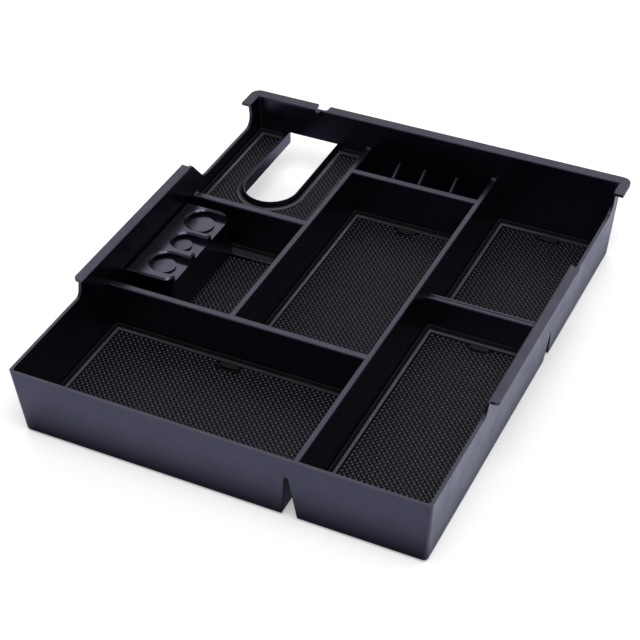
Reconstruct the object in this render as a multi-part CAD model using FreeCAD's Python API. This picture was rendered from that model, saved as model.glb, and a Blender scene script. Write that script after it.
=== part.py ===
import FreeCAD, Part
import math
import os
from FreeCAD import Vector

# Outer tub, millimetres. Local axes: x to the right along the front wall,
# y to the back, z up, z = 0 on the front rim.
tray_width = 290.0
tray_length = 346.0
tray_depth = 52.0
wall = 2.2
floor_thickness = 2.8
wall_lean = 0.077
corner_radius = 3.2
tub_edge_radius = 4.0
foot_radius = 1.0
rim_edge = 1.2
notch_edge = 0.9
boss_x = 115.6
boss_radius = 1.3
boss_height = 0.7

# Rim: high flanged stretches, low rear stretches
flange_top = 9.2
flange_thickness = 2.2
flange_reach_side = 5.5
flange_reach_back = 6.4
flange_corner = 7.0
rear_rim = -7.7
front_rise = 84.5
side_flange_start = 89.5
side_flange_end = 238.0
rear_drop = 239.5
rear_rise = tray_length - 15.0
drop_slope = 0.78
rim_notch_left = 49.0
rim_notch_right = 58.0

# Dividers: position of the two faces at the divider top
divider_top = -12.5
cross_top = -25.2
divider_round = 1.3
divider_skin = 1.6
divider_crown = 3.2
spine_faces = (193.5, 198.1)
column_faces = (92.4, 97.1)
front_cross_faces = (117.2, 122.9)
middle_cross_faces = (234.1, 240.1)
rear_cross_faces = (tray_length - 37.5, tray_length - 31.7)
right_cross_faces = (208.4, 214.4)
spine_leans = (0.13, 0.13)
column_leans = (0.09, 0.09)
front_cross_leans = (0.02, 0.08)
middle_cross_leans = (0.097, 0.06)
rear_cross_leans = (0.07, 0.05)
right_cross_leans = (0.25, 0.12)
spine_gap_crown = (194.0, 196.0)
spine_gap_leans = (0.115, 0.115)
right_gap_mouth = (204.6, 215.6)
right_gap_width = 1.4
cross_groove_width = 0.9
cross_groove_depth = 0.5
gap_mouth_clear = 0.15

# Shallow rear left compartment and its cable slot
shallow_floor = -22.7
slot_centre_x = 48.1
slot_centre_y = 272.6
slot_radius = 20.3
collar_wall = 1.8
collar_top = -15.8
collar_bottom = -27.1
collar_bite = 0.3
collar_lip = 0.6
collar_slope = 3.6

# Coin holder, a loose insert standing on the liner of its compartment
holder_top = -12.5
holder_wall_gap = 0.5
holder_right = 38.2
holder_front = 137.6
holder_back = 224.8
holder_lean = 0.065
holder_left_lean = 0.145
holder_corner = 6.0
holder_edge = 1.2
holder_skin = 2.0
coin_floor_drop = 5.0
coin_seat_rise = 1.2
coin_centre_x = 25.0
coin_seat_shift = 1.2
coin_wells = (
    # centre y, well radius, seat radius
    (209.5, 12.6, 9.1),
    (182.7, 9.3, 6.2),
    (156.0, 11.0, 8.0),
)

# Card fins on the back wall
fin_positions = (120.5, 141.3, 166.7)
fin_width = 1.8
fin_top = -18.2
fin_drop = 6.6
fin_reach = 16.0

# Rubber liners
liner_gap = 0.5
liner_base = 2.6
liner_lip = 3.2
liner_lip_width = 1.2
slot_lip = 0.9
liner_corner = 1.6
liner_corner_flat = 1.2
liner_foot = 1.0
liner_foot_flat = 0.75
slit_length = 10.8
slit_width = 1.1
slit_bow = 0.8
slit_inset = 9.7

floor_level = floor_thickness - tray_depth
reach = 400.0


def rounded_outline(corners):
    """Closed run of lines and arcs through 2-D corners (u, v, radius)."""
    spans = []
    count = len(corners)
    for i, (u, v, radius) in enumerate(corners):
        here = Vector(u, v, 0)
        before = Vector(corners[i - 1][0], corners[i - 1][1], 0) - here
        after = Vector(corners[(i + 1) % count][0], corners[(i + 1) % count][1], 0) - here
        before.normalize()
        after.normalize()
        if radius <= 0:
            spans.append((here, here, here))
            continue
        half = before.getAngle(after) / 2
        run = radius / math.tan(half)
        middle = (before + after).normalize()
        nearest = here + middle * (radius / math.sin(half) - radius)
        spans.append((here + before * run, nearest, here + after * run))
    edges = []
    for i, (start, nearest, end) in enumerate(spans):
        if (end - start).Length > 1e-6:
            edges.append(Part.Arc(start, nearest, end).toShape())
        following = spans[(i + 1) % count][0]
        if (following - end).Length > 1e-6:
            edges.append(Part.makeLine(end, following))
    return Part.Wire(edges)


def prism_up(corners, low, high):
    """Plan outline extruded from one height to another."""
    face = Part.Face(rounded_outline(corners))
    face.translate(Vector(0, 0, low))
    return face.extrude(Vector(0, 0, high - low))


def prism_along_y(corners, start, end):
    """Outline in (x, z) extruded along y."""
    face = Part.Face(rounded_outline(corners))
    face.rotate(Vector(0, 0, 0), Vector(1, 0, 0), 90)
    face.translate(Vector(0, start, 0))
    return face.extrude(Vector(0, end - start, 0))


def prism_along_x(corners, start, end):
    """Outline in (y, z) extruded along x."""
    face = Part.Face(rounded_outline(corners))
    face.rotate(Vector(0, 0, 0), Vector(1, 1, 1), 120)
    face.translate(Vector(start, 0, 0))
    return face.extrude(Vector(end - start, 0, 0))


def frustum(x0, x1, y0, y1, top, low, leans):
    """Box whose four sides lean inwards going down; sizes are those at the top."""
    left, right, front, back = [lean * (top - low) for lean in leans]
    wedge = Part.makeWedge(x0 + left, low, -(y1 - back), -y1, x0, x1 - right, top, -(y0 + front), -y0, x1)
    wedge.rotate(Vector(0, 0, 0), Vector(1, 0, 0), 90)
    return wedge


def tub_edges(solid, top, standing):
    """Uprights of a frustum, or the edges of its bottom."""
    chosen = []
    for edge in solid.Edges:
        heights = [vertex.Z for vertex in edge.Vertexes]
        rises = max(heights) - min(heights) > 1
        if rises == standing and (rises or max(heights) < top - 1):
            chosen.append(edge)
    return chosen


def round_tub(solid, top, upright, bottom):
    """Rounds the uprights and the bottom edges of a frustum."""
    rounded = solid.makeFillet(upright, tub_edges(solid, top, True))
    return rounded.makeFillet(bottom, tub_edges(rounded, top, False))


def ease_tub(solid, top, upright, flat):
    """Rounds the uprights of a frustum and takes a flat off its bottom edges."""
    rounded = solid.makeFillet(upright, tub_edges(solid, top, True))
    return rounded.makeChamfer(flat, tub_edges(rounded, top, False))


def tub_at(offset, top, low):
    """Frustum of the tray's outer walls, taken in by an offset."""
    grow = wall_lean * top
    return frustum(offset - grow, tray_width - offset + grow,
                   offset - grow, tray_length - offset + grow,
                   top, low, (wall_lean,) * 4)


def outer_solid():
    """Outside of the tub, up to the flange top."""
    return round_tub(tub_at(0, flange_top, -tray_depth), flange_top, corner_radius, corner_radius)


def inner_space():
    """Inside of the tub, without dividers, shallow at the rear left."""
    top = flange_top + 1
    space = ease_tub(tub_at(wall, top, floor_level), top, corner_radius - 1, foot_radius)
    middle_x = sum(column_faces) / 2
    middle_y = sum(middle_cross_faces) / 2
    block = Part.makeBox(middle_x + 20, reach, 60, Vector(-20, middle_y, shallow_floor - 60))
    return space.cut(block)


def flange_ring():
    """Out-turned lip round the rear and the sides, before the rim is cut."""
    left = -wall_lean * flange_top - flange_reach_side
    right = tray_width - left
    back = tray_length + wall_lean * flange_top + flange_reach_back
    low = flange_top - flange_thickness
    plate = prism_up([(left, side_flange_start, 3.0), (right, side_flange_start, 3.0),
                      (right, back, flange_corner), (left, back, flange_corner)], low, flange_top)
    gaps = []
    for x in (left - 1, tray_width + 0.2):
        gaps.append(prism_up([(x, side_flange_end, 2.5), (x + 9, side_flange_end, 2.5),
                              (x + 9, rear_rise, 2.5), (x, rear_rise, 2.5)], low - 1, flange_top + 1))
    inner = tray_length + wall_lean * flange_top
    notch = prism_up([(rim_notch_left, inner, 2.4), (rim_notch_right, inner, 2.4),
                      (rim_notch_right + 1.2, inner + 20, 0), (rim_notch_left - 1.2, inner + 20, 0)],
                     low - 2, flange_top + 2)
    return plate.cut(Part.makeCompound(gaps + [notch]))


def rim_cutter():
    """Everything above the rim line, as one prism across the tray."""
    high = flange_top + 20
    drop_end = rear_drop + (flange_top - rear_rim) * drop_slope
    front = prism_along_x([(-10, 0, 0), (front_rise, 0, 5.0), (front_rise + 3.0, flange_top, 0),
                           (front_rise + 3.0, high, 0), (-10, high, 0)], -20, tray_width + 20)
    rear = prism_along_x([(rear_drop, high, 0), (rear_drop, flange_top, 0), (drop_end, rear_rim, 9.0),
                          (rear_rise, rear_rim, 9.0), (rear_rise, high, 0)], -20, tray_width + 20)
    return front.fuse(rear)


def divider_outline(faces, leans, top, sink):
    """Cross-section of a divider, rounded on top, with flared feet sunk in the floor."""
    drop = top - floor_level
    near, far = faces
    sunk = floor_level - sink
    return [(near, top, divider_round), (near - leans[0] * drop, floor_level, foot_radius),
            (near - leans[0] * drop - 3, floor_level, 0), (near - leans[0] * drop - 3, sunk, 0),
            (far + leans[1] * drop + 3, sunk, 0), (far + leans[1] * drop + 3, floor_level, 0),
            (far + leans[1] * drop, floor_level, foot_radius), (far, top, divider_round)]


def dividers():
    """The six dividers, each with its own depth in the floor."""
    back = tray_length - wall - 0.5
    inside = wall - 0.5
    middle_spine = sum(spine_faces) / 2
    middle_column = sum(column_faces) / 2
    column_start = front_cross_faces[0] + 1.2
    return [
        prism_along_x(divider_outline(front_cross_faces, front_cross_leans, divider_top, 0.8),
                      inside, middle_spine),
        prism_along_y(divider_outline(spine_faces, spine_leans, divider_top, 0.5), inside, back),
        prism_along_y(divider_outline(column_faces, column_leans, divider_top, 0.65), column_start, back),
        prism_along_x(divider_outline(middle_cross_faces, middle_cross_leans, divider_top, 0.95),
                      inside, middle_column),
        prism_along_x(divider_outline(rear_cross_faces, rear_cross_leans, divider_top, 1.1),
                      middle_column, middle_spine),
        prism_along_x(divider_outline(right_cross_faces, right_cross_leans, cross_top, 1.25),
                      middle_spine, tray_width - inside),
    ]


def gap_outline(near_top, far_top, near_low, far_low, top):
    """Cross-section of the space between two neighbouring tubs, open below."""
    low = -tray_depth - gap_mouth_clear
    return [(near_top, top, 0), (near_low, low, tub_edge_radius), (near_low - 12, low, 0),
            (near_low - 12, low - 20, 0), (far_low + 12, low - 20, 0), (far_low + 12, low, 0),
            (far_low, low, tub_edge_radius), (far_top, top, 0)]


def spine_gap():
    """Cross-section of the space under the spine."""
    crown = divider_top - divider_crown
    left, right = spine_gap_crown
    drop = tray_depth + crown
    return gap_outline(left, right, left - spine_gap_leans[0] * drop,
                       right + spine_gap_leans[1] * drop, crown)


def gap_between(faces, leans, top):
    """Gap that leaves the divider skin on both sides of a divider."""
    crown = top - divider_crown
    drop = tray_depth + crown
    near = faces[0] + divider_skin - leans[0] * divider_crown
    far = faces[1] - divider_skin + leans[1] * divider_crown
    return gap_outline(near, far, near - leans[0] * drop, far + leans[1] * drop, crown)


def divider_gaps():
    """Spaces under the dividers."""
    middle_spine = sum(spine_faces) / 2
    middle_column = sum(column_faces) / 2
    column_start = front_cross_faces[0] + 2.4
    apex = sum(right_cross_faces) / 2
    right_outline = gap_outline(apex - right_gap_width / 2, apex + right_gap_width / 2,
                                right_gap_mouth[0], right_gap_mouth[1], cross_top - divider_crown)
    return [
        prism_along_y(spine_gap(), -20, reach),
        prism_along_y(gap_between(column_faces, column_leans, divider_top), column_start, reach),
        prism_along_x(gap_between(front_cross_faces, front_cross_leans, divider_top),
                      -20, middle_spine),
        prism_along_x(gap_between(middle_cross_faces, middle_cross_leans, divider_top),
                      -20, middle_column),
        prism_along_x(gap_between(rear_cross_faces, rear_cross_leans, divider_top),
                      middle_column, middle_spine),
        prism_along_x(right_outline, middle_spine, tray_width + 20),
    ]


def shallow_undercut():
    """Space under the shallow compartment, outside the two tubs beside it."""
    top = shallow_floor - floor_thickness
    low = -tray_depth - gap_mouth_clear
    wall_x = column_faces[1] - divider_skin + column_leans[1] * (divider_top - top)
    foot_x = column_faces[1] - divider_skin + column_leans[1] * (divider_top - low)
    wall_y = middle_cross_faces[0] + divider_skin - middle_cross_leans[0] * (divider_top - top)
    foot_y = middle_cross_faces[0] + divider_skin - middle_cross_leans[0] * (divider_top - low)
    across = prism_along_y([(-20, top, 0), (wall_x, top, 1.0), (foot_x, low, tub_edge_radius),
                            (foot_x + 30, low, 0), (foot_x + 30, low - 20, 0), (-20, low - 20, 0)],
                           100, reach)
    along = prism_along_x([(reach, top, 0), (wall_y, top, 1.0), (foot_y, low, tub_edge_radius),
                           (foot_y - 30, low, 0), (foot_y - 30, low - 20, 0), (reach, low - 20, 0)],
                          -20, spine_faces[0])
    return across.common(along)


def slot_outline(radius, end):
    """U-shaped plan of the cable slot, open towards the back wall."""
    left = slot_centre_x - radius
    right = slot_centre_x + radius
    front = slot_centre_y - radius
    return [(left, front, radius - 0.001), (right, front, radius - 0.001), (right, end, 0), (left, end, 0)]


def slot_collar():
    """Standing collar round the cable slot, thinner towards its rim."""
    end = tray_length - wall - collar_bite
    collar = prism_up(slot_outline(slot_radius + collar_wall, end), collar_bottom, collar_top)
    rim = [edge for edge in collar.Edges
           if min(v.Z for v in edge.Vertexes) > collar_top - 0.01
           and min(v.Y for v in edge.Vertexes) < end - 1]
    return collar.makeChamfer(collar_slope, collar_wall - collar_lip, rim)


def holder_block():
    """Outside of the coin holder."""
    low = floor_level + liner_base
    left = left_wall[0] + left_wall[1] * (divider_top - holder_top) + holder_wall_gap
    block = frustum(left, holder_right, holder_front, holder_back, holder_top, low,
                    (holder_left_lean, -holder_lean, -holder_lean, -holder_lean))
    uprights = [edge for edge in block.Edges
                if abs(edge.Vertexes[0].Z - edge.Vertexes[1].Z) > 1
                and min(v.X for v in edge.Vertexes) > holder_right - 1]
    return block.makeFillet(holder_corner, uprights)


def coin_pockets():
    """Round wells open to the right, each with a raised seat."""
    low = holder_top - coin_floor_drop
    pockets = []
    for centre_y, radius, seat in coin_wells:
        left = coin_centre_x - radius
        outline = [(left, centre_y - radius, radius - 0.001), (60, centre_y - radius, 0),
                   (60, centre_y + radius, 0), (left, centre_y + radius, radius - 0.001)]
        seat_post = Part.makeCylinder(seat, coin_seat_rise,
                                      Vector(coin_centre_x - coin_seat_shift, centre_y, low))
        pockets.append(prism_up(outline, low, holder_top + 2).cut(seat_post))
    return pockets


def holder_hollow():
    """Space inside the coin holder, open below."""
    top = holder_top - coin_floor_drop - holder_skin
    drop = holder_top - top
    left = left_wall[0] + holder_left_lean * drop + holder_wall_gap + holder_skin
    flare = holder_lean * drop
    space = frustum(left, holder_right - holder_skin + flare, holder_front + holder_skin - flare,
                    holder_back - holder_skin + flare, top, -tray_depth - 5,
                    (holder_left_lean, -holder_lean, -holder_lean, -holder_lean))
    uprights = [edge for edge in space.Edges
                if abs(edge.Vertexes[0].Z - edge.Vertexes[1].Z) > 1
                and min(v.X for v in edge.Vertexes) > holder_right / 2]
    return space.makeFillet(holder_corner - holder_skin, uprights)


def coin_holder():
    """The loose coin holder."""
    body = holder_block().cut(coin_pockets())
    rims = [edge for edge in body.Edges
            if min(v.Z for v in edge.Vertexes) > holder_top - 0.01]
    return body.makeChamfer(holder_edge, rims).cut(holder_hollow())


def card_fins():
    """Sloping fins that keep cards apart."""
    back = tray_length - wall
    low = floor_level - 0.5
    fins = []
    for x in fin_positions:
        fins.append(prism_along_x([(back, fin_top, 0), (back - fin_reach, fin_top - fin_drop, 2.0),
                                   (back - fin_reach - 1.0, low, 0), (back, low, 0)],
                                  x - fin_width / 2, x + fin_width / 2))
    return fins


def wall_details():
    """Nib beside the rim notch and the small round boss on the back wall."""
    face = tray_length - wall + wall_lean * flange_top
    nib = prism_along_x([(face + 1.0, flange_top, 0), (face - 2.6, flange_top, 1.4),
                         (face - 2.8, flange_top - 4.6, 1.2), (face + 1.0, flange_top - 7.4, 0)],
                        rim_notch_left + 1.4, rim_notch_left + 4.8)
    boss = Part.makeCylinder(boss_radius, boss_height + 0.5,
                             Vector(boss_x, tray_length - wall - boss_height, 0), Vector(0, 1, 0))
    return [nib, boss]


def rim_flares():
    """Two slopes that soften the inner top edge of the flanged stretches."""
    inner = wall - wall_lean * flange_top
    flares = []
    for run, rise in ((0.29, 0.29), (1.0, 0.0)):
        foot_run, foot_rise = (0.0, 1.0) if rise else (0.29, 0.29)
        lean = (run - foot_run) / (foot_rise - rise)
        spread = rim_edge * run - lean * (rim_edge * rise + 0.5)
        block = frustum(inner - rim_edge * run, tray_width - inner + rim_edge * run,
                        inner - rim_edge * run, tray_length - inner + rim_edge * run,
                        flange_top - rim_edge * rise, flange_top - rim_edge * foot_rise - 0.5,
                        (lean,) * 4)
        flares.append(block)
    return flares


def notch_corners():
    """Ease the uprights where the space under the spine leaves the front wall, in three flats."""
    crown = divider_top - divider_crown
    drop = tray_depth + crown + 2
    y = -wall_lean * crown
    cutters = []
    for x, lean, side in zip(spine_gap_crown, spine_gap_leans, (-1, 1)):
        centre = Vector(x + side * notch_edge, y + notch_edge, crown)
        points = [centre - Vector(side * math.cos(turn), math.sin(turn), 0) * notch_edge
                  for turn in (0, math.pi / 6, math.pi / 3, math.pi / 2)]
        points += [Vector(x + side * notch_edge, y - 2, crown), Vector(x - side * 0.6, y - 2, crown),
                   Vector(x - side * 0.6, y + notch_edge, crown)]
        face = Part.Face(Part.makePolygon(points + [points[0]]))
        cutters.append(face.extrude(Vector(side * lean * drop, wall_lean * drop, -drop)))
    return cutters


def cross_groove():
    """Shallow groove along the top of the right cross divider."""
    middle = sum(right_cross_faces) / 2
    right = tray_width - wall + wall_lean * cross_top
    return Part.makeBox(right - spine_faces[1], cross_groove_width, cross_groove_depth + 1,
                        Vector(spine_faces[1], middle - cross_groove_width / 2,
                               cross_top - cross_groove_depth))


def tray_body():
    """The moulding: tub, flange, dividers, collar and fins."""
    body = outer_solid().fuse(flange_ring())
    body = body.cut(inner_space())
    body = body.cut(rim_cutter())
    for flare in rim_flares():
        body = body.cut(flare)
    inside = tub_at(wall - 0.6, flange_top, -tray_depth + 0.8)
    for part in dividers() + [slot_collar()] + card_fins() + wall_details():
        body = body.fuse(part.common(inside))
    body = body.removeSplitter()
    for space in divider_gaps() + [shallow_undercut(), cross_groove()] + notch_corners():
        body = body.cut(space)
    slot = prism_up(slot_outline(slot_radius, reach), -tray_depth - 10, collar_top)
    well = prism_up(slot_outline(slot_radius, tray_length - wall - wall_lean * 8), -tray_depth - 10,
                    collar_top + 1)
    return body.cut(slot).cut(well).removeSplitter()


def compartment(left, right, front, back, level):
    """Plan rectangle of a compartment at a height; sides are (face, lean) pairs."""
    depth = divider_top - level
    return (left[0] + left[1] * depth, right[0] - right[1] * depth,
            front[0] + front[1] * depth, back[0] - back[1] * depth)


def outer_face(distance):
    """Inner face of an outer wall at the divider top, with its lean."""
    return (distance - wall_lean * divider_top, wall_lean)


left_wall = outer_face(wall)
front_wall = outer_face(wall)
right_wall = (tray_width - left_wall[0], wall_lean)
back_wall = (tray_length - left_wall[0], wall_lean)


def near(faces, leans):
    """Face of a divider that looks to smaller x or y."""
    return (faces[0], leans[0])


def far(faces, leans):
    """Face of a divider that looks to larger x or y."""
    return (faces[1], leans[1])


def liner_block(sides, low, high, inset, radius, flat):
    """Tapered block that follows the walls of a compartment, taken in by an inset."""
    left, right, front, back = compartment(*sides, high)
    block = frustum(left + inset, right - inset, front + inset, back - inset, high, low,
                    [lean for face, lean in sides])
    return ease_tub(block, high, radius, flat)


def collar_room(margin):
    """Prism round the slot collar, grown by a margin."""
    return prism_up(slot_outline(slot_radius + collar_wall + margin, reach), -tray_depth, flange_top)


def slit(centre_x, back_y, level):
    """Curved finger slit near the back edge of a liner."""
    y = back_y - slit_inset
    half = slit_length / 2
    edges = []
    for rise, side in ((0, 1), (slit_width, -1)):
        edges.append(Part.Arc(Vector(centre_x - half * side, y + rise, 0),
                              Vector(centre_x, y + rise - slit_bow, 0),
                              Vector(centre_x + half * side, y + rise, 0)).toShape())
        edges.append(Part.makeLine(Vector(centre_x + half * side, y, 0),
                                   Vector(centre_x + half * side, y + slit_width, 0)))
    face = Part.Face(Part.Wire(Part.sortEdges(edges)[0]))
    face.translate(Vector(0, 0, level - 1))
    return face.extrude(Vector(0, 0, 6))


def liner(sides, level):
    """Rubber sheet with an upturned lip and a finger slit, lying on the floor."""
    high = level + liner_base + liner_lip
    outer = liner_block(sides, level, high, liner_gap, liner_corner, liner_corner_flat)
    hollow = liner_block(sides, level + liner_base, high + 1, liner_gap + liner_lip_width,
                         liner_foot, liner_foot_flat)
    left, right, front, back = compartment(*sides, level)
    return outer.cut(hollow).cut(slit((left + right) / 2, back, level))


def slot_liner(sides, level):
    """Liner of the shallow compartment, with a second, low lip round the collar."""
    high = level + liner_base + liner_lip
    outer = liner_block(sides, level, high, liner_gap, liner_corner, liner_corner_flat)
    hollow = liner_block(sides, level + liner_base, high + 1, liner_gap + liner_lip_width,
                         liner_foot, liner_foot_flat)
    hollow = hollow.cut(collar_room(liner_gap + liner_lip_width))
    sheet = outer.cut(collar_room(liner_gap)).cut(hollow)
    trim = prism_up(slot_outline(slot_radius + collar_wall + 2 * liner_gap + liner_lip_width, reach),
                    level + liner_base + slot_lip, flange_top)
    return sheet.cut(trim)


def liners():
    """Every liner by node name."""
    spine_near, spine_far = near(spine_faces, spine_leans), far(spine_faces, spine_leans)
    column_near, column_far = near(column_faces, column_leans), far(column_faces, column_leans)
    front_near = near(front_cross_faces, front_cross_leans)
    front_far = far(front_cross_faces, front_cross_leans)
    middle_near = near(middle_cross_faces, middle_cross_leans)
    middle_far = far(middle_cross_faces, middle_cross_leans)
    rear_near = near(rear_cross_faces, rear_cross_leans)
    right_drop = divider_top - cross_top
    right_near = (right_cross_faces[0] + right_cross_leans[0] * right_drop, right_cross_leans[0])
    right_far = (right_cross_faces[1] - right_cross_leans[1] * right_drop, right_cross_leans[1])
    bounds = {
        "liner_front_left": (left_wall, spine_near, front_wall, front_near),
        "liner_coin": (left_wall, column_near, front_far, middle_near),
        "liner_center": (column_far, spine_near, front_far, rear_near),
        "liner_rear_right": (spine_far, right_wall, right_far, back_wall),
        "liner_front_right": (spine_far, right_wall, front_wall, right_near),
    }
    sheets = {name: liner(sides, floor_level) for name, sides in bounds.items()}
    sheets["liner_slot"] = slot_liner((left_wall, column_near, middle_far, back_wall), shallow_floor)
    return sheets


def export_all():
    """Writes one file a node, in the tray's own frame: centre of the underside."""
    os.makedirs("parts", exist_ok=True)
    shapes = {"tray_body": tray_body(), "coin_holder": coin_holder()}
    shapes.update(liners())
    for name, shape in shapes.items():
        shape.translate(Vector(-tray_width / 2, -tray_length / 2, tray_depth))
        solids = shape.Solids
        print(name, shape.isValid(), len(solids), round(shape.Volume), shape.BoundBox)
        solid = solids[0] if len(solids) == 1 else shape
        solid.exportStep("parts/" + name + ".step")


export_all()
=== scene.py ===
import math

import bmesh
import bpy
from mathutils import Matrix, Vector
from mathutils.bvhtree import BVHTree


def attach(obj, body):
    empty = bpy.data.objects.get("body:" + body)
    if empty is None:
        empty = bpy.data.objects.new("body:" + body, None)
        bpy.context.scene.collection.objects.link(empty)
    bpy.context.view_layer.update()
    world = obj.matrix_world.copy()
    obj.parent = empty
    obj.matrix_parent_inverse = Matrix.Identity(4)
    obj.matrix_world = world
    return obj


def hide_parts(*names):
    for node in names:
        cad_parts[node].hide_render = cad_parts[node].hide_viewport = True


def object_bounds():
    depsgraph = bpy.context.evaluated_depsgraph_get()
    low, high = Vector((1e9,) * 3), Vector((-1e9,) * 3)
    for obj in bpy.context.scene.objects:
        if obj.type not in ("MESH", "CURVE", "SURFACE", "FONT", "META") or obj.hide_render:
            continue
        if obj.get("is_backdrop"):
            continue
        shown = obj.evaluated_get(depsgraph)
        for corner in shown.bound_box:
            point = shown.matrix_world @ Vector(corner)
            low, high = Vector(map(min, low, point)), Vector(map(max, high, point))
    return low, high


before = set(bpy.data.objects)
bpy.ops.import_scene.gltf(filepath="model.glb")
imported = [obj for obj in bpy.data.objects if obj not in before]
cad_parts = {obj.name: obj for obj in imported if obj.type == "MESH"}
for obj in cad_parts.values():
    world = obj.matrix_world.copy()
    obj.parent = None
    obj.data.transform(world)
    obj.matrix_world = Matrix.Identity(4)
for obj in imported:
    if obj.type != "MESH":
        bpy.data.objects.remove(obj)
cad_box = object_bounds()

# Sizes in metres, angles in radians
MM = 0.001
DIAGONAL = math.radians(45)
SQUARE = math.radians(90)

# Mouldings: merging of the CAD mesh, then eased corners
merge_gap = 0.002 * MM
flat_angle = math.radians(0.4)
moulding_edge = 0.55 * MM
holder_edge = 0.60 * MM
edge_rings = 2
edge_angle = math.radians(38)
plastic_smooth_angle = math.radians(30)

# Fillets where three dividers meet the outer wall
divider_top = 39.5 * MM
fillet_radius = 2.6 * MM
fillet_steps = 8
fillet_sunk = 0.3 * MM
fillets = (
    # x and y of a point on the divider's top, way to the wall, half width
    (50.8 * MM, 150 * MM, (0, 1), 1.7 * MM),
    (-50.2 * MM, 150 * MM, (0, 1), 1.7 * MM),
    (-120 * MM, 64.1 * MM, (-1, 0), 2.2 * MM),
)

# Mats; the slot mat lies in the raised tray, and the coin mat has a wide border behind its slit
slot_mat = "liner_slot"
coin_mat = "liner_coin"
mats = ("liner_front_left", coin_mat, "liner_center", "liner_rear_right", "liner_front_right", slot_mat)
low_ground = 5.4 * MM
raised_ground = 31.9 * MM
facing_up = 0.999
level_step = 0.1 * MM

# Basket weave pressed into the mats: one arched pad a crossing
strand_pitch = 2.72 * MM
strand_length = 2.76 * MM
strand_width = 1.96 * MM
strand_rise = 0.66 * MM
strand_sink = 0.03 * MM
pad_points_along = 5
pad_points_across = 4
spare_rows = 3
weave_gap = strand_width / 3

# Plain border between the lip and the weave: a slope from the lip's foot, then a narrow flat
border_width = 1.9 * MM
border_rise = 0.95 * MM
border_flat = 0.34 * MM
border_slope = 1.25 * MM
wide_border = {coin_mat: 5.6 * MM}
border_smooth_angle = math.radians(35)
border_profile = (
    # inset, height
    (0.0, -strand_sink),
    (0.0, border_rise),
    (border_slope * 0.35, border_rise * 0.82),
    (border_slope * 0.75, border_rise * 0.48),
    (border_slope, border_flat),
    (border_width - border_flat / 2, border_flat * 0.9),
    (border_width, -strand_sink),
)

# Finger slit and its plain land, on every mat but the slot mat and the coin mat
slit_length = 10.8 * MM
slit_bow = 0.8 * MM
slit_from_border = 6.7 * MM
land_inner = 1.1 * MM
land_front = 1.9 * MM
land_back = slit_from_border - border_slope
land_rise = 0.38 * MM
land_round = 0.25 * MM
land_profile = (
    # distance in front of the slit, distance behind it, height
    (land_front, land_back, -strand_sink),
    (land_front - land_round, land_back, land_rise),
    (land_inner + land_round, land_inner + land_round, land_rise),
    (land_inner, land_inner, -strand_sink),
)
slit_steps = 12
slit_end_steps = 6

# Cable slot of the slot mat
slot_centre = Vector((-96.9, 99.6)) * MM
slot_lip_radius = 23.8 * MM
slot_steps = 32

# Floor; reflections see it glow bluish, with a painted shadow that keeps it dim at the tray's foot and full
# a little way off
floor_half = 6.0
floor_level = -0.3 * MM
floor_tone = 0.9
floor_rough = 0.9
floor_glow = 0.34
painted_reflection_colour = (0.80, 0.82, 1.0, 1)
# Painted shadow seen only in reflections: the floor's glow is dim at the tray's foot and rises to full a
# little way off
foot_shadow_level = 0.10
foot_shadow_fade = (
    # axis, half size of the foot, way to full brightness, full brightness
    ("X", 137.0 * MM, 16 * MM, 1.0),
    ("Y", 172.0 * MM, 20 * MM, 0.95),
)

# Surroundings: dim up to the first height of the view's direction, full from the second
sky_levels = (0.08, 0.47)
sky_heights = (0.25, 0.50)
lamps = (
    # name, place, size, power
    ("back_box", (-0.7, 1.3, 1.6), (1.8, 1.4), 7.5),
    ("top_box", (0.5, -0.5, 1.9), (1.4, 1.0), 20),
)

# Camera at the photograph's angle: its right, down and forward directions
camera_place = Vector((0.4009, -0.82594, 0.75435))
camera_right = Vector((0.90126, 0.43293, -0.01726))
camera_down = Vector((0.25954, -0.57134, -0.77860))
camera_forward = Vector((-0.34694, 0.69724, -0.62729))
camera_lens = 96.82
camera_reach = 30
sensor_width = 36.0

# Finishes: noise as (waves a metre, detail, roughness), a rub as change of roughness
usual_mix = 0.55
# Each finish's tint turns its reflections bluish: a painted reflection colour standing for bluish
# surroundings
plastic = {
    "painted_reflection_tint": (0.70, 0.68, 1.0, 1), "patches": (24, 4, usual_mix), "rub": (60, 5, 0.6),
    "smoother": 0.05, "rougher": 0.06,
    "grain": (2600, 2, usual_mix), "grain_depth": 0.05 * MM, "grain_strength": 0.25,
    "sheen": None,
}
rubber = {
    "painted_reflection_tint": (0.84, 0.82, 1.0, 1), "patches": (35, 4, usual_mix), "rub": (400, 3, usual_mix),
    "smoother": 0.05, "rougher": 0.07,
    "grain": (3500, 2, usual_mix), "grain_depth": 0.04 * MM, "grain_strength": 0.3,
    "sheen": (0.004, 0.5),
}
# Painted shade in the mats' pits: near black up to the first height above the ground's level, the rubber's
# own colour from the second
pit_shade_colour = (0.0006, 0.0006, 0.0008)
pit_shade_from = 0.1 * MM
pit_shade_to = 0.5 * MM


def join(tree, value, socket):
    """Gives a socket another node's output, or a plain value."""
    if isinstance(value, bpy.types.NodeSocket):
        tree.links.new(value, socket)
    else:
        socket.default_value = value


def maths(tree, operation, *values):
    """Result of one sum on sockets or plain values."""
    node = tree.nodes.new("ShaderNodeMath")
    node.operation = operation
    for value, socket in zip(values, node.inputs):
        join(tree, value, socket)
    return node.outputs[0]


def axes(tree, output):
    """X, Y and Z of the piece's own coordinates, or of another output of Texture Coordinate."""
    place = tree.nodes.new("ShaderNodeTexCoord")
    split = tree.nodes.new("ShaderNodeSeparateXYZ")
    tree.links.new(place.outputs[output], split.inputs["Vector"])
    return split.outputs


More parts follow.
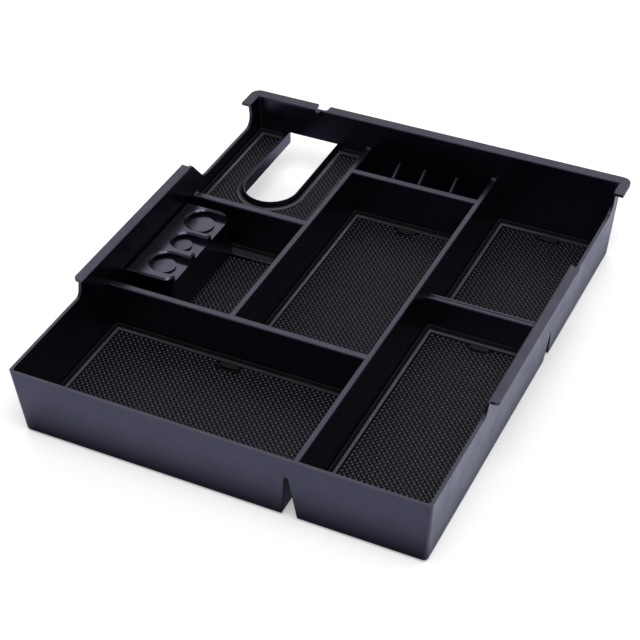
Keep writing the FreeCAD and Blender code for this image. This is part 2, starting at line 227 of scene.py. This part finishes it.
def noise(tree, pattern):
    """Noise on the piece's own coordinates; the pattern is its scale, detail and roughness."""
    place = tree.nodes.new("ShaderNodeTexCoord")
    texture = tree.nodes.new("ShaderNodeTexNoise")
    for word, value in zip(("Scale", "Detail", "Roughness"), pattern):
        texture.inputs[word].default_value = value
    tree.links.new(place.outputs["Object"], texture.inputs["Vector"])
    return texture.outputs["Fac"]


def spread(tree, value, low, high, start=0.3, end=0.7):
    """Maps a value's range to another; without a range of its own the value is a noise."""
    node = tree.nodes.new("ShaderNodeMapRange")
    node.inputs["From Min"].default_value = start
    node.inputs["From Max"].default_value = end
    node.inputs["To Min"].default_value = low
    node.inputs["To Max"].default_value = high
    tree.links.new(value, node.inputs["Value"])
    return node.outputs["Result"]


def blend_colours(tree, factor, first, second):
    """Colour between two by a factor; the second may be a socket."""
    node = tree.nodes.new("ShaderNodeMix")
    node.data_type = "RGBA"
    join(tree, (*first, 1), node.inputs["A"])
    join(tree, second if isinstance(second, bpy.types.NodeSocket) else (*second, 1), node.inputs["B"])
    tree.links.new(factor, node.inputs["Factor"])
    return node.outputs["Result"]


def new_material(name):
    """Empty node material with its shader."""
    material = bpy.data.materials.new(name)
    material.use_nodes = True
    tree = material.node_tree
    tree.nodes.clear()
    output = tree.nodes.new("ShaderNodeOutputMaterial")
    shader = tree.nodes.new("ShaderNodeBsdfPrincipled")
    tree.links.new(shader.outputs["BSDF"], output.inputs["Surface"])
    return material, tree, shader


def black_finish(kind, name, dark, light, rough, shine, pit_shade_level=None):
    """Black plastic or rubber with patches, handling marks and a fine grain; given a pit level, painted
    shade makes it near black in the pits.
    """
    material, tree, shader = new_material(name)
    colour = blend_colours(tree, spread(tree, noise(tree, kind["patches"]), 0, 1), dark, light)
    if pit_shade_level is not None:
        # Painted shade: near black at the pits' level, fading to the rubber's own colour a little higher
        height = axes(tree, "Object")["Z"]
        clear_of_pit_shade = spread(tree, height, 0, 1, pit_shade_level + pit_shade_from, pit_shade_level + pit_shade_to)
        colour = blend_colours(tree, clear_of_pit_shade, pit_shade_colour, colour)
    tree.links.new(colour, shader.inputs["Base Color"])
    marks = noise(tree, kind["rub"])
    rubbed = spread(tree, marks, rough - kind["smoother"], rough + kind["rougher"])
    tree.links.new(rubbed, shader.inputs["Roughness"])
    shader.inputs["Specular IOR Level"].default_value = shine
    # Painted reflection colour: a bluish tint on the reflections
    shader.inputs["Specular Tint"].default_value = kind["painted_reflection_tint"]
    if kind["sheen"]:
        weight, softness = kind["sheen"]
        shader.inputs["Sheen Weight"].default_value = weight
        shader.inputs["Sheen Roughness"].default_value = softness
    relief = tree.nodes.new("ShaderNodeBump")
    relief.inputs["Distance"].default_value = kind["grain_depth"]
    relief.inputs["Strength"].default_value = kind["grain_strength"]
    tree.links.new(noise(tree, kind["grain"]), relief.inputs["Height"])
    tree.links.new(relief.outputs["Normal"], shader.inputs["Normal"])
    return material


def stage_white(name):
    """Matt white floor, nearer white to the camera; in reflections it glows bluish, with a painted shadow
    that dims it close to the tray's foot.
    """
    material, tree, shader = new_material(name)
    shader.inputs["Base Color"].default_value = (floor_tone, floor_tone, floor_tone, 1)
    shader.inputs["Roughness"].default_value = floor_rough
    shader.inputs["Specular IOR Level"].default_value = 0.0
    lift = tree.nodes.new("ShaderNodeEmission")
    lift.inputs["Strength"].default_value = floor_glow
    direct = tree.nodes.new("ShaderNodeAddShader")
    tree.links.new(shader.outputs["BSDF"], direct.inputs[0])
    tree.links.new(lift.outputs["Emission"], direct.inputs[1])
    place = axes(tree, "Object")
    # Painted shadow seen in reflections: dim at the tray's foot, full a little way off
    shadow_fades = [spread(tree, maths(tree, "ABSOLUTE", place[axis]), foot_shadow_level, full, half, half + reach)
             for axis, half, reach, full in foot_shadow_fade]
    reflected_glow = tree.nodes.new("ShaderNodeEmission")
    reflected_glow.inputs["Color"].default_value = painted_reflection_colour
    tree.links.new(maths(tree, "MAXIMUM", *shadow_fades), reflected_glow.inputs["Strength"])
    seen = tree.nodes.new("ShaderNodeLightPath")
    whole = shader.outputs["BSDF"]
    for ray, other in (("Is Camera Ray", direct.outputs["Shader"]),
                       ("Is Glossy Ray", reflected_glow.outputs["Emission"])):
        chosen = tree.nodes.new("ShaderNodeMixShader")
        tree.links.new(seen.outputs[ray], chosen.inputs["Fac"])
        tree.links.new(whole, chosen.inputs[1])
        tree.links.new(other, chosen.inputs[2])
        whole = chosen.outputs["Shader"]
    tree.links.new(whole, tree.nodes["Material Output"].inputs["Surface"])
    return material


shell_plastic = black_finish(plastic, "shell_plastic", (0.0008, 0.0007, 0.0013), (0.0015, 0.0013, 0.0023),
                             rough=0.30, shine=0.88)
holder_plastic = black_finish(plastic, "holder_plastic", (0.0008, 0.0007, 0.0013), (0.0015, 0.0013, 0.0022),
                              rough=0.20, shine=0.95)
# The mats' ground carries painted shade, near black in the pits between the weave's pads
rubber_ground, rubber_ground_raised = (
    black_finish(rubber, name, (0.0090, 0.0090, 0.0108), (0.0130, 0.0130, 0.0156),
                 rough=0.55, shine=0.08, pit_shade_level=level)
    for name, level in (("rubber_ground", low_ground), ("rubber_ground_raised", raised_ground)))
rubber_strands = black_finish(rubber, "rubber_strands", (0.0024, 0.0022, 0.0032), (0.0042, 0.0039, 0.0058),
                              rough=0.32, shine=0.49)
rubber_land = black_finish(rubber, "rubber_land", (0.0075, 0.0072, 0.0088), (0.0105, 0.0100, 0.0120),
                           rough=0.42, shine=0.40)
# Border rubber: a lighter copy of the mats' rubber, a painted highlight along the border's sloped face
rubber_border_painted_light = black_finish(rubber, "rubber_border_painted_light", (0.0160, 0.0156, 0.0190), (0.0210, 0.0206, 0.0240),
                             rough=0.30, shine=0.95)


def mesh_object(name, mesh, material):
    """Puts a finished mesh in the scene as a piece of the tray."""
    piece = bpy.data.objects.new(name, mesh)
    bpy.context.scene.collection.objects.link(piece)
    mesh.materials.clear()
    mesh.materials.append(material)
    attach(piece, "root")
    return piece


def smooth_by_angle(mesh, angle):
    """Smooth shading with the edges above an angle kept sharp."""
    mesh.shade_smooth()
    mesh.set_sharp_from_angle(angle=angle)


def eased_moulding(node, name, edge, material):
    """Moulding with its sharp corners eased to a small radius, in place of its CAD node."""
    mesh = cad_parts[node].data.copy()
    form = bmesh.new()
    form.from_mesh(mesh)
    bmesh.ops.remove_doubles(form, verts=form.verts, dist=merge_gap)
    bmesh.ops.dissolve_limit(form, angle_limit=flat_angle, verts=form.verts, edges=form.edges)
    form.to_mesh(mesh)
    form.free()
    smooth_by_angle(mesh, plastic_smooth_angle)
    piece = mesh_object(name, mesh, material)
    bevel = piece.modifiers.new("eased_edges", "BEVEL")
    bevel.width = edge
    bevel.segments = edge_rings
    bevel.limit_method = "ANGLE"
    bevel.angle_limit = edge_angle
    bevel.use_clamp_overlap = True
    level = piece.modifiers.new("level_faces", "WEIGHTED_NORMAL")
    level.keep_sharp = True
    level.weight = 100
    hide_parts(node)


def fillet_profile(foot, along):
    """Outline of one fillet from its foot on the divider up the wall, closed below and behind."""
    down = Vector((0, 0, -fillet_sunk))
    profile = [foot + down]
    for step in range(fillet_steps + 1):
        turn = SQUARE * step / fillet_steps
        profile.append(foot + along * fillet_radius * math.sin(turn)
                       + Vector((0, 0, fillet_radius * (1 - math.cos(turn)))))
    profile.append(profile[-1] + along * fillet_sunk)
    profile.append(foot + along * (fillet_radius + fillet_sunk) + down)
    return profile


def divider_fillets():
    """Small rounded ramps where the tops of three dividers meet the outer wall."""
    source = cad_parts["tray_body"].data
    body = BVHTree.FromPolygons([vertex.co for vertex in source.vertices],
                                [face.vertices for face in source.polygons])
    form = bmesh.new()
    for x, y, way, half_width in fillets:
        along = Vector((*way, 0))
        across = Vector((-way[1], way[0], 0)) * half_width
        wall = body.ray_cast(Vector((x, y, divider_top + fillet_radius / 2)), along)[0]
        profile = fillet_profile(Vector((wall.x, wall.y, divider_top)) - along * fillet_radius, along)
        sides = [[form.verts.new(point + shift) for point in profile] for shift in (-across, across)]
        form.faces.new(sides[0])
        form.faces.new(sides[1])
        for i in range(len(profile)):
            j = (i + 1) % len(profile)
            form.faces.new((sides[0][i], sides[0][j], sides[1][j], sides[1][i]))
    bmesh.ops.recalc_face_normals(form, faces=form.faces)
    mesh = bpy.data.meshes.new("divider_fillets")
    form.to_mesh(mesh)
    form.free()
    smooth_by_angle(mesh, plastic_smooth_angle)
    mesh_object("divider_fillets", mesh, shell_plastic)


def flat_ground(node):
    """Left, right, front and back of the level ground inside a mat's lip, and its height."""
    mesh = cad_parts[node].data
    steps = [(face, round(face.center.z / level_step)) for face in mesh.polygons
             if face.normal.z > facing_up]
    areas = {}
    for face, step in steps:
        areas[step] = areas.get(step, 0) + face.area
    widest = max(areas, key=areas.get)
    points = [mesh.vertices[i].co for face, step in steps if step == widest for i in face.vertices]
    left, right = min(p.x for p in points), max(p.x for p in points)
    front, back = min(p.y for p in points), max(p.y for p in points)
    return left, right, front, back, points[0].z


class Tree:
    """A geometry tree under construction: adds nodes, joins them and does arithmetic."""

    def __init__(self, name, sizes, counts=()):
        self.group = bpy.data.node_groups.new(name, "GeometryNodeTree")
        sockets = self.group.interface
        sockets.new_socket("Geometry", in_out="OUTPUT", socket_type="NodeSocketGeometry")
        self.keys = {}
        for words, kind in ((sizes, "NodeSocketFloat"), (counts, "NodeSocketInt")):
            for word in words:
                self.keys[word] = sockets.new_socket(word, in_out="INPUT", socket_type=kind).identifier
        self.given = self.group.nodes.new("NodeGroupInput")
        self.result = self.group.nodes.new("NodeGroupOutput")

    def size(self, word):
        return self.given.outputs[word]

    def add(self, kind, **links):
        """New node; each keyword is an input's name with its socket or value."""
        node = self.group.nodes.new(kind)
        for word, value in links.items():
            join(self.group, value, node.inputs[word.replace("_", " ")])
        return node

    def maths(self, operation, *values):
        return maths(self.group, operation, *values)

    def vector(self, x=0.0, y=0.0, z=0.0):
        return self.add("ShaderNodeCombineXYZ", X=x, Y=y, Z=z).outputs[0]

    def place(self):
        split = self.add("ShaderNodeSeparateXYZ", Vector=self.add("GeometryNodeInputPosition").outputs[0])
        return split.outputs[0], split.outputs[1]


def strand_pad(tree):
    """One strand crossing: a small arched pad, high in the middle and low at its ends."""
    grid = tree.add("GeometryNodeMeshGrid", Size_X=tree.size("Strand Length"),
                    Size_Y=tree.size("Strand Width"), Vertices_X=pad_points_along,
                    Vertices_Y=pad_points_across)
    x, y = tree.place()
    along = tree.maths("DIVIDE", x, tree.maths("MULTIPLY", tree.size("Strand Length"), 0.5))
    across = tree.maths("DIVIDE", y, tree.maths("MULTIPLY", tree.size("Strand Width"), 0.5))
    arch = tree.maths("SUBTRACT", 1.0, tree.maths("MULTIPLY", along, along))
    crown = tree.maths("SUBTRACT", 1.0, tree.maths("MULTIPLY", across, across))
    height = tree.maths("MULTIPLY", tree.maths("MULTIPLY", arch, crown), tree.size("Rise"))
    sunk = tree.maths("SUBTRACT", height, tree.size("Sink"))
    return tree.add("GeometryNodeSetPosition", Geometry=grid.outputs["Mesh"],
                    Offset=tree.vector(z=sunk)).outputs[0]


def outside_field(tree):
    """True where a crossing lies beyond the border or in the plain land of an opening."""
    x, y = tree.place()
    beyond = tree.maths("LESS_THAN", x, tree.size("Left"))
    for one, other in ((tree.size("Right"), x), (y, tree.size("Front")), (tree.size("Back"), y)):
        beyond = tree.maths("MAXIMUM", beyond, tree.maths("LESS_THAN", one, other))
    squares = []
    for value, axis in ((x, "X"), (y, "Y")):
        run = tree.maths("ABSOLUTE", tree.maths("SUBTRACT", value, tree.size("Land " + axis)))
        off = tree.maths("MAXIMUM", tree.maths("SUBTRACT", run, tree.size("Land Half " + axis)), 0.0)
        squares.append(tree.maths("MULTIPLY", off, off))
    distance = tree.maths("SQRT", tree.maths("ADD", *squares))
    return tree.maths("MAXIMUM", beyond, tree.maths("LESS_THAN", distance, tree.size("Land Radius")))


def weave_tree():
    """Plain weave on the diagonals: crossings in rows, every other one turned a right angle."""
    tree = Tree("basket_weave",
                ("Pitch", "Strand Length", "Strand Width", "Rise", "Sink", "Left", "Right", "Front", "Back",
                 "Level", "Land X", "Land Y", "Land Half X", "Land Half Y", "Land Radius"), ("Rows",))
    rows = tree.size("Rows")
    span = tree.maths("MULTIPLY", tree.maths("SUBTRACT", rows, 1.0), tree.size("Pitch"))
    grid = tree.add("GeometryNodeMeshGrid", Size_X=span, Size_Y=span, Vertices_X=rows, Vertices_Y=rows)
    index = tree.add("GeometryNodeInputIndex").outputs[0]
    row = tree.maths("FLOOR", tree.maths("DIVIDE", tree.maths("ADD", index, 0.5), rows))
    column = tree.maths("SUBTRACT", index, tree.maths("MULTIPLY", row, rows))
    parity = tree.maths("MODULO", tree.maths("ADD", row, column), 2.0)
    turn = tree.add("GeometryNodeStoreNamedAttribute", Geometry=grid.outputs["Mesh"], Name="turn",
                    Value=parity)
    middle_x = tree.maths("MULTIPLY", tree.maths("ADD", tree.size("Left"), tree.size("Right")), 0.5)
    middle_y = tree.maths("MULTIPLY", tree.maths("ADD", tree.size("Front"), tree.size("Back")), 0.5)
    turned = tree.add("GeometryNodeTransform", Geometry=turn.outputs[0],
                      Translation=tree.vector(middle_x, middle_y, tree.size("Level")),
                      Rotation=(0, 0, DIAGONAL))
    kept = tree.add("GeometryNodeDeleteGeometry", Geometry=turned.outputs[0], Selection=outside_field(tree))
    kept.domain = "POINT"
    read = tree.add("GeometryNodeInputNamedAttribute", Name="turn").outputs["Attribute"]
    angle = tree.maths("ADD", tree.maths("MULTIPLY", read, SQUARE), DIAGONAL)
    pads = tree.add("GeometryNodeInstanceOnPoints", Points=kept.outputs[0], Instance=strand_pad(tree),
                    Rotation=tree.vector(z=angle))
    solid = tree.add("GeometryNodeRealizeInstances", Geometry=pads.outputs[0])
    smooth = tree.add("GeometryNodeSetShadeSmooth", Geometry=solid.outputs[0])
    finish = tree.add("GeometryNodeSetMaterial", Geometry=smooth.outputs[0], Material=rubber_strands)
    join(tree.group, finish.outputs[0], tree.result.inputs[0])
    return tree


def made_mesh(tree, name, values):
    """Evaluates a tree with its input values and returns the plain mesh."""
    carrier = bpy.data.objects.new(name, bpy.data.meshes.new(name))
    bpy.context.scene.collection.objects.link(carrier)
    modifier = carrier.modifiers.new(name, "NODES")
    modifier.node_group = tree.group
    for word, value in values.items():
        modifier[tree.keys[word]] = value
    evaluated = carrier.evaluated_get(bpy.context.evaluated_depsgraph_get())
    mesh = bpy.data.meshes.new_from_object(evaluated)
    carrier.modifiers.remove(modifier)
    bpy.data.objects.remove(carrier)
    return mesh


def plain_land(node, left, right, back):
    """Middle, half sizes and radius of the rounded patch that a mat's weave keeps clear of."""
    if node == slot_mat:
        reach = (back - slot_centre.y) / 2
        return (slot_centre.x, slot_centre.y + reach + border_width, 0.0, reach + border_width,
                slot_lip_radius + border_width)
    middle = (left + right) / 2
    if node in wide_border:
        return (middle, back - slit_from_border - slit_bow / 2, slit_length / 2, 0.0,
                land_inner + slit_bow / 2)
    reach = slit_from_border / 2
    return middle, back - reach, slit_length / 2, reach, land_front + slit_bow / 2


def mat_weave(tree, node):
    """The pressed weave of one mat, clear of its border and of its slit or cable slot."""
    left, right, front, back, level = flat_ground(node)
    edge = border_width + weave_gap
    back_edge = wide_border.get(node, border_width) + weave_gap
    span = math.hypot(right - left, back - front)
    values = {"Pitch": strand_pitch, "Strand Length": strand_length, "Strand Width": strand_width,
              "Rise": strand_rise, "Sink": strand_sink, "Left": left + edge, "Right": right - edge,
              "Front": front + edge, "Back": back - back_edge, "Level": level,
              "Rows": 2 * math.ceil(span / strand_pitch / 2) + spare_rows}
    words = ("Land X", "Land Y", "Land Half X", "Land Half Y", "Land Radius")
    values.update(zip(words, plain_land(node, left, right, back)))
    mesh = made_mesh(tree, node + "_weave", values)
    mesh_object(node + "_weave", mesh, rubber_strands)


def ring_mesh(name, outlines):
    """Closed band through outlines of equal length, each a list of points."""
    count = len(outlines[0])
    points = [point for outline in outlines for point in outline]
    faces = []
    for i in range(len(outlines)):
        first, second = i * count, (i + 1) % len(outlines) * count
        for j in range(count):
            k = (j + 1) % count
            faces.append((first + j, first + k, second + k, second + j))
    mesh = bpy.data.meshes.new(name)
    mesh.from_pydata(points, [], faces)
    mesh.validate()
    return mesh


def border_outline(node, inset, height):
    """Outline of a mat's level ground taken in by an inset; it goes round the cable slot."""
    left, right, front, back, level = flat_ground(node)
    back -= inset / border_width * (wide_border.get(node, border_width) - border_width)
    places = [(left + inset, front + inset), (right - inset, front + inset), (right - inset, back - inset)]
    if node == slot_mat:
        radius = slot_lip_radius + inset
        places.append((slot_centre.x + radius, back - inset))
        for step in range(slot_steps + 1):
            turn = -math.pi * step / slot_steps
            places.append((slot_centre.x + radius * math.cos(turn),
                           slot_centre.y + radius * math.sin(turn)))
        places.append((slot_centre.x - radius, back - inset))
    places.append((left + inset, back - inset))
    return [(x, y, level + height) for x, y in places]


def mat_border(node):
    """Plain border that frames the weave."""
    mesh = ring_mesh(node + "_border", [border_outline(node, *step) for step in border_profile])
    smooth_by_angle(mesh, border_smooth_angle)
    mesh_object(node + "_border", mesh, rubber_border_painted_light)


def land_outline(node, front_offset, back_offset, height):
    """Line round a mat's finger slit, at one distance in front of it and another behind."""
    left, right, _, back, level = flat_ground(node)
    middle = (left + right) / 2
    half = slit_length / 2
    places = []
    for side, offset in ((1, back_offset), (-1, front_offset)):
        straight = side > 0 and offset > slit_from_border / 2
        for step in range(slit_steps + 1):
            run = side * half * (1 - 2 * step / slit_steps)
            bow = 0.0 if straight else slit_bow * (1 - (run / half) ** 2)
            places.append((middle + run, back - slit_from_border - bow + side * offset))
        for step in range(1, slit_end_steps):
            turn = side * SQUARE + math.pi * step / slit_end_steps
            rise = back_offset if math.sin(turn) > 0 else front_offset
            places.append((middle - side * half + front_offset * math.cos(turn),
                           back - slit_from_border + rise * math.sin(turn)))
    return [(x, y, level + height) for x, y in places]


def slit_land(node):
    """Plain raised land round a finger slit, reaching back to the border."""
    mesh = ring_mesh(node + "_land", [land_outline(node, *step) for step in land_profile])
    mesh_object(node + "_land", mesh, rubber_land)


def dress_mats():
    """Rubber finish on every mat, with its weave, border and slit land."""
    tree = weave_tree()
    for node in mats:
        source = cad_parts[node]
        source.data.materials.clear()
        source.data.materials.append(rubber_ground_raised if node == slot_mat else rubber_ground)
        mat_weave(tree, node)
        mat_border(node)
        if node != slot_mat and node not in wide_border:
            slit_land(node)


def pale_floor():
    """Pale floor, wide enough to fill the view, just under the tray."""
    mesh = bpy.data.meshes.new("studio_floor")
    corners = [(x * floor_half, y * floor_half, floor_level)
               for x, y in ((-1, -1), (1, -1), (1, 1), (-1, 1))]
    mesh.from_pydata(corners, [], [(0, 1, 2, 3)])
    floor = bpy.data.objects.new("studio_floor", mesh)
    bpy.context.scene.collection.objects.link(floor)
    mesh.materials.append(stage_white("studio_white"))
    floor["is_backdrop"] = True


def soft_lamp(name, place, size, power):
    """Rectangular soft box aimed at the tray."""
    data = bpy.data.lights.new(name, "AREA")
    data.shape = "RECTANGLE"
    data.size, data.size_y = size
    data.energy = power
    lamp = bpy.data.objects.new(name, data)
    bpy.context.scene.collection.objects.link(lamp)
    lamp.location = place
    lamp.rotation_euler = (-Vector(place)).to_track_quat("-Z", "Y").to_euler()


def studio_light():
    """Pale surroundings, dim near the horizon, with soft boxes behind and above."""
    world = bpy.data.worlds.new("studio")
    world.use_nodes = True
    tree = world.node_tree
    background = tree.nodes["Background"]
    background.inputs["Color"].default_value = (1, 1, 1, 1)
    level = spread(tree, axes(tree, "Generated")["Z"], *sky_levels, *sky_heights)
    tree.links.new(level, background.inputs["Strength"])
    bpy.context.scene.world = world
    for lamp in lamps:
        soft_lamp(*lamp)


def photo_camera():
    """Camera at the photograph's angle and distance."""
    data = bpy.data.cameras.new("camera")
    data.sensor_width = sensor_width
    data.lens = camera_lens
    data.clip_end = camera_reach
    camera = bpy.data.objects.new("camera", data)
    bpy.context.scene.collection.objects.link(camera)
    turn = Matrix((camera_right, -camera_down, -camera_forward)).transposed()
    camera.matrix_world = Matrix.Translation(camera_place) @ turn.to_4x4()
    bpy.context.scene.camera = camera


eased_moulding("tray_body", "tray_moulding", moulding_edge, shell_plastic)
eased_moulding("coin_holder", "coin_holder_insert", holder_edge, holder_plastic)
divider_fillets()
dress_mats()
pale_floor()
studio_light()
photo_camera()
bpy.context.scene.view_settings.view_transform = "Standard"

lists = [[list(corner) for corner in box] for box in (cad_box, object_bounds())]
